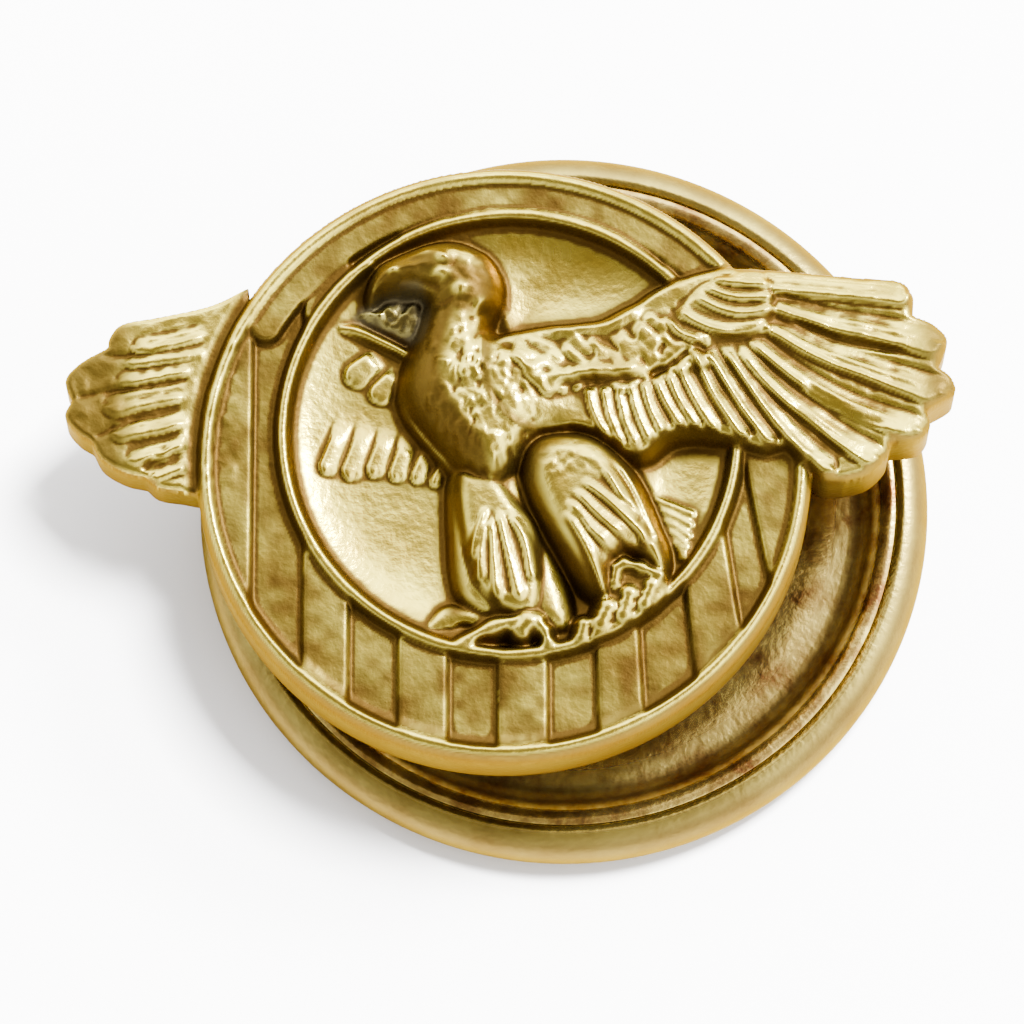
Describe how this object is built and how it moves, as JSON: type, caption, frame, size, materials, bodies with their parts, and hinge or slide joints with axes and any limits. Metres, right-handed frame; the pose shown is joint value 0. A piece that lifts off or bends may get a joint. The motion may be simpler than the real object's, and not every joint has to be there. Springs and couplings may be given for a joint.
{
  "type": "cap badge",
  "caption": "Small round screw-back cap badge: a struck brass eagle over a striped ring, on a threaded post with a dished nut.",
  "frame": {"origin": "the middle of the whole part's footprint, on the flat back of the nut", "axes": "+X to the eagle's near wing, +Y to the eagle's head, +Z from the nut's back to the emblem's face"},
  "size_m": [0.016, 0.0132, 0.0045],
  "materials": {
    "emblem_brass": "polished gilding metal, darkened in the recesses",
    "post_brass": "turned, dull",
    "solder": "dull soft solder",
    "dish_brass": "mottled red-brown tarnish",
    "shell_brass": "rolled sheet, lightly tarnished"
  },
  "bodies": {
    "badge": {"emblem": "emblem_brass", "screw_post": "post_brass", "post_solder": "solder"},
    "nut_hub": {"nut_hub": "post_brass"},
    "nut_disc": {"nut_dish": "dish_brass", "nut_back_shell": "shell_brass"}
  },
  "joints": [
    {"name": "nut_travel", "type": "slide", "parent": "badge", "child": "nut_hub", "axis": [0, 0, 1], "range_m": [-0.00249, 0.00109]},
    {"name": "nut_spin", "type": "hinge", "parent": "nut_hub", "child": "nut_disc", "pos_m": [0.001, 0, 0], "axis": [0, 0, 1], "range_deg": [-1990, 870]}
  ],
  "couplings": [
    {"joint": "nut_spin", "follows": "nut_travel", "rad_per_m": 13963}
  ]
}
